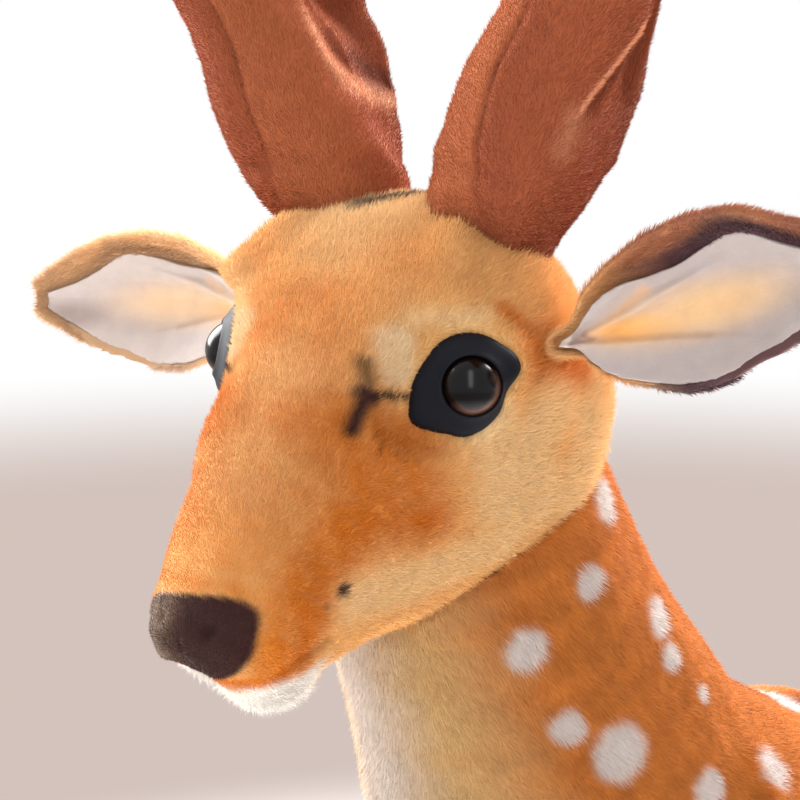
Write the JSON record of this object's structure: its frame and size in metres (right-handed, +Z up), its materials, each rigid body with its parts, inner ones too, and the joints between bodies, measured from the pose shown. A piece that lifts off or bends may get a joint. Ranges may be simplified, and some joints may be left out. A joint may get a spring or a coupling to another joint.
{
  "type": "plush deer",
  "caption": "Standing stuffed spotted deer with stuffed antlers, cupped ears, plastic eyes and a wire frame inside.",
  "frame": {"origin": "on the floor under the middle of the object's bounding box", "axes": "+Z up, -Y the way the deer's body faces, +X the deer's own left; the head is turned 20 degrees to its left"},
  "size_m": [0.306, 0.4318, 0.7551],
  "materials": {
    "body_plush": "short plush pile, orange tan with white spots",
    "head_plush": "short plush pile, orange tan shaded with airbrush",
    "ear_velour": "flat pale velour",
    "antler_plush": "very short red-brown plush",
    "hoof_plush": "short dark brown plush",
    "lid_plastic": "matte black moulded plastic",
    "eye_plastic": "clear dome over a brown iris and black pupil",
    "washer_nylon": "natural nylon",
    "steel_wire": "drawn steel wire"
  },
  "bodies": {
    "trunk": {"torso": "body_plush", "wire_frame": "steel_wire", "foreleg_left": "body_plush", "foreleg_right": "body_plush", "hindleg_left": "body_plush", "hindleg_right": "body_plush", "foreleg_left_hoof": "hoof_plush", "foreleg_right_hoof": "hoof_plush", "hindleg_left_hoof": "hoof_plush", "hindleg_right_hoof": "hoof_plush"},
    "neck": {"neck": "body_plush", "neck_wire": "steel_wire"},
    "head": {"head": "head_plush", "eyelid_left": "lid_plastic", "eyelid_right": "lid_plastic", "eyeball_left": "eye_plastic", "eyeball_right": "eye_plastic", "eye_washer_left": "washer_nylon", "eye_washer_right": "washer_nylon"},
    "antler_left": {"antler_left": "antler_plush"},
    "antler_right": {"antler_right": "antler_plush"},
    "ear_left": {"ear_left_fur": "head_plush", "ear_left_lining": "ear_velour"},
    "ear_right": {"ear_right_fur": "head_plush", "ear_right_lining": "ear_velour"},
    "tail": {"tail": "body_plush"}
  },
  "joints": [
    {"name": "neck_bend", "type": "hinge", "parent": "trunk", "child": "neck", "pos_m": [-0.0015, -0.03713, 0.36525], "axis": [1, 0, 0], "range_deg": [-10, 10], "deforming": ["neck"]},
    {"name": "head_turn", "type": "hinge", "parent": "neck", "child": "head", "pos_m": [-0.0015, -0.10731, 0.52665], "axis": [0, -0.3987, 0.9171], "range_deg": [-20, 20], "deforming": ["neck"]},
    {"name": "ear_left_fold", "type": "hinge", "parent": "head", "child": "ear_left", "pos_m": [0.05918, -0.09719, 0.55122], "axis": [-0.3, -0.1463, 0.9426], "range_deg": [-15, 20], "stiffness_Nm_per_rad": 0.08},
    {"name": "ear_right_fold", "type": "hinge", "parent": "head", "child": "ear_right", "pos_m": [-0.05448, -0.13856, 0.55122], "axis": [-0.0302, -0.0174, 0.9994], "range_deg": [-20, 15], "stiffness_Nm_per_rad": 0.08},
    {"name": "antler_left_lean", "type": "hinge", "parent": "head", "child": "antler_left", "pos_m": [0.03231, -0.09867, 0.58831], "axis": [-0.342, 0.9397, 0], "range_deg": [-8, 8], "stiffness_Nm_per_rad": 2},
    {"name": "antler_right_lean", "type": "hinge", "parent": "head", "child": "antler_right", "pos_m": [-0.03294, -0.12242, 0.58831], "axis": [-0.342, 0.9397, 0], "range_deg": [-8, 8], "stiffness_Nm_per_rad": 2},
    {"name": "tail_lift", "type": "hinge", "parent": "trunk", "child": "tail", "pos_m": [-0.0015, 0.18487, 0.3525], "axis": [1, 0, 0], "range_deg": [0, 60]}
  ]
}
